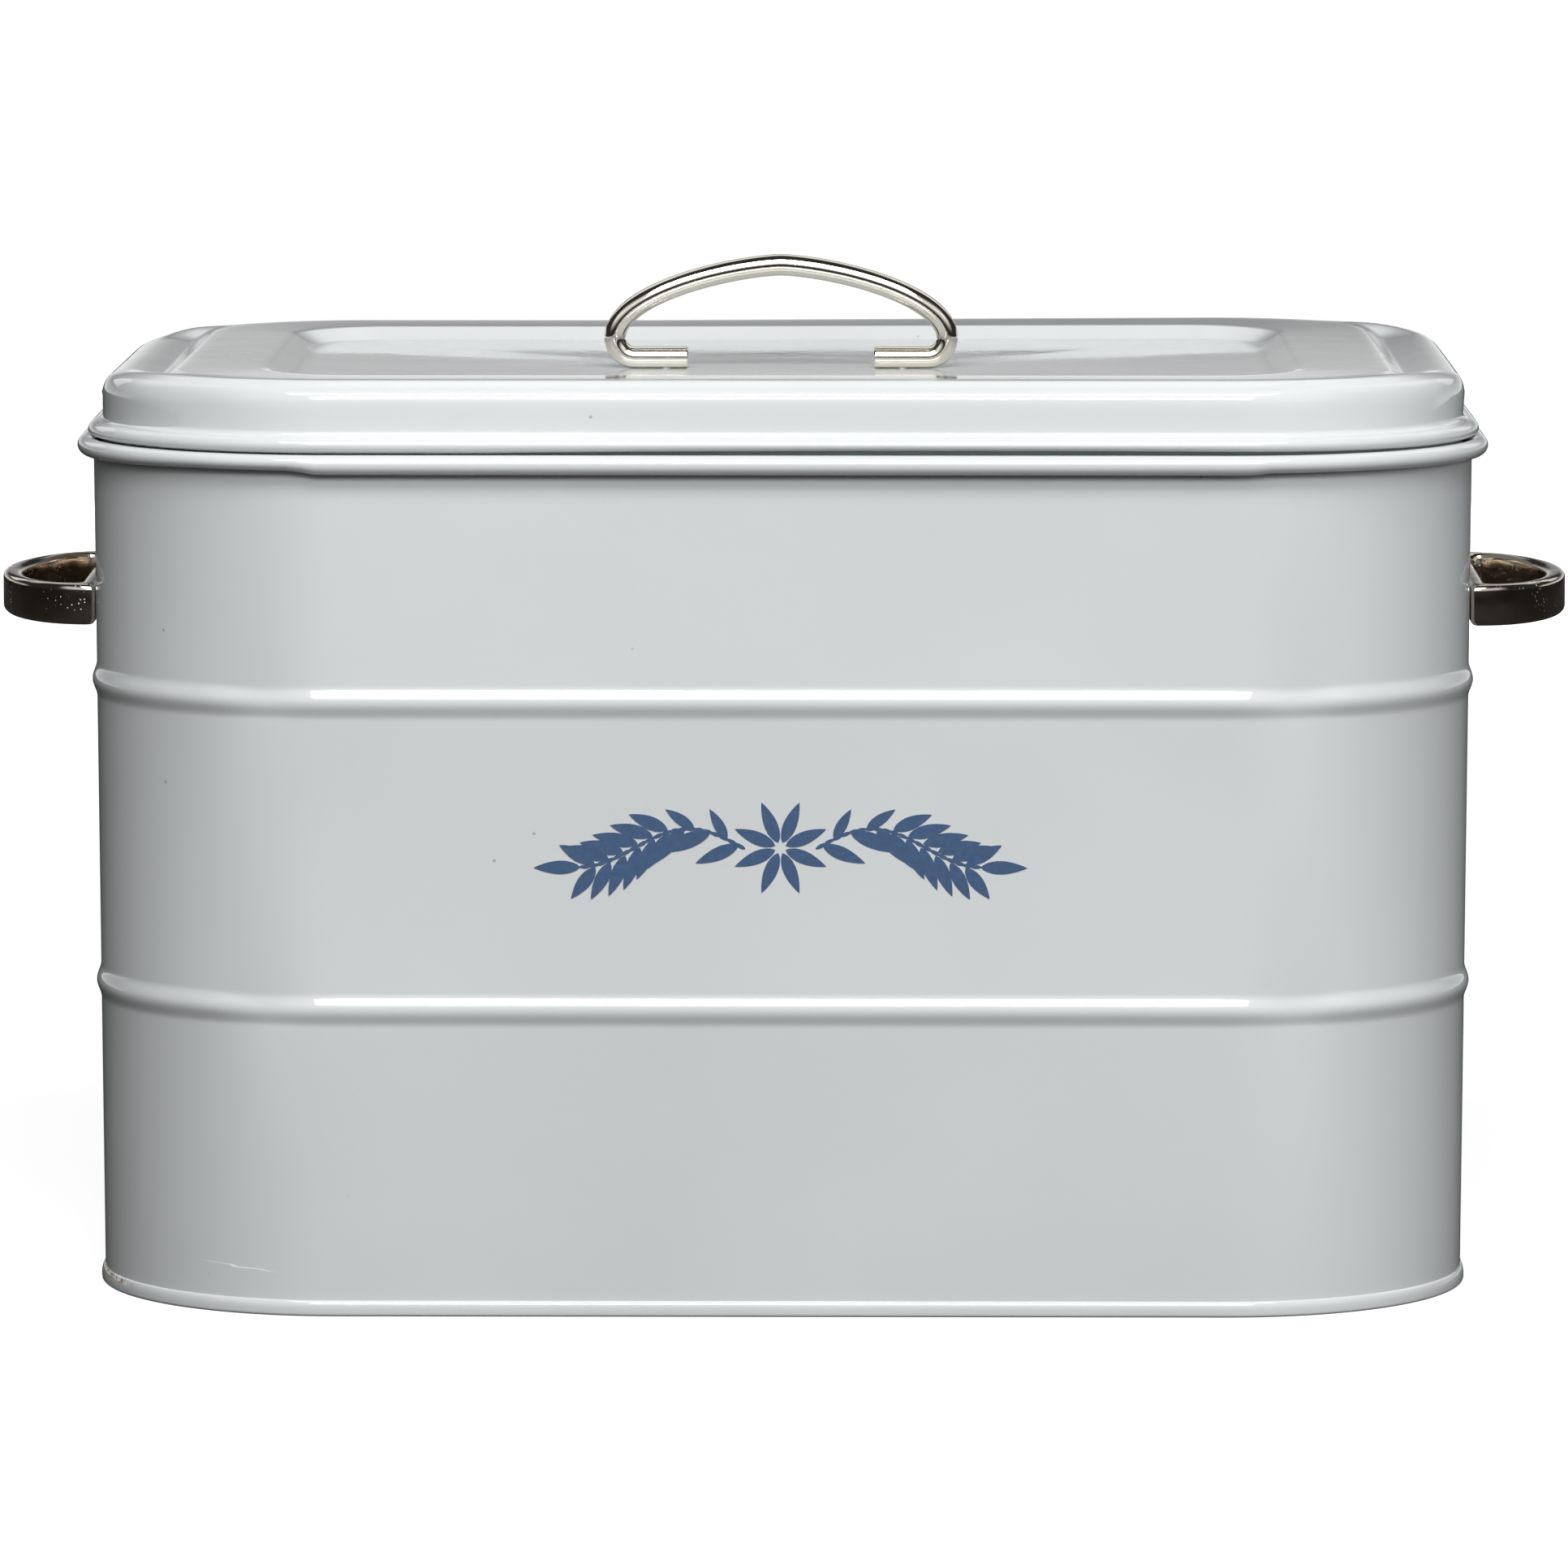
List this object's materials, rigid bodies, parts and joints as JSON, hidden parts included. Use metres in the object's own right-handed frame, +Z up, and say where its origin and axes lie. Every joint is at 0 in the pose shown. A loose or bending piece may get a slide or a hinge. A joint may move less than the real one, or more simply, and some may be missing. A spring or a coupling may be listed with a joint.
{
  "type": "bread bin",
  "caption": "Straight-sided sheet steel bread bin with rounded corners, a curled rim, pressed beads, a lift-off lid with a rod handle, and a bar loop on each short side.",
  "frame": {"origin": "centre of the base, on the surface that the bin stands on", "axes": "+X along the long side, -Y towards the front with the printed ornament, +Z up"},
  "size_m": [0.3838, 0.2118, 0.2468],
  "materials": {
    "grey_enamel": "gloss light grey baked enamel, inside and out, with slight orange peel",
    "bright_nickel": "polished nickel plate, warm and bright",
    "dark_nickel": "polished black nickel plate with fine pits",
    "zinc_steel": "bright zinc plated steel",
    "blue_print": "slate blue printed enamel ornament on the front"
  },
  "bodies": {
    "bin": {"body_wall": "grey_enamel", "base_panel": "grey_enamel", "side_handle_left": "dark_nickel", "side_handle_right": "dark_nickel", "side_handle_screw_left_front": "zinc_steel", "side_handle_washer_left_front": "zinc_steel", "side_handle_screw_left_back": "zinc_steel", "side_handle_washer_left_back": "zinc_steel", "side_handle_screw_right_front": "zinc_steel", "side_handle_washer_right_front": "zinc_steel", "side_handle_screw_right_back": "zinc_steel", "side_handle_washer_right_back": "zinc_steel"},
    "lid": {"lid_cover": "grey_enamel", "lid_collar": "grey_enamel", "lid_handle": "bright_nickel", "lid_handle_screw_left": "zinc_steel", "lid_handle_washer_left": "zinc_steel", "lid_handle_screw_right": "zinc_steel", "lid_handle_washer_right": "zinc_steel"}
  },
  "joints": [
    {"name": "lid_lift", "type": "slide", "parent": "bin", "child": "lid", "axis": [0, 0, 1], "range_m": [0, 0.12]}
  ]
}
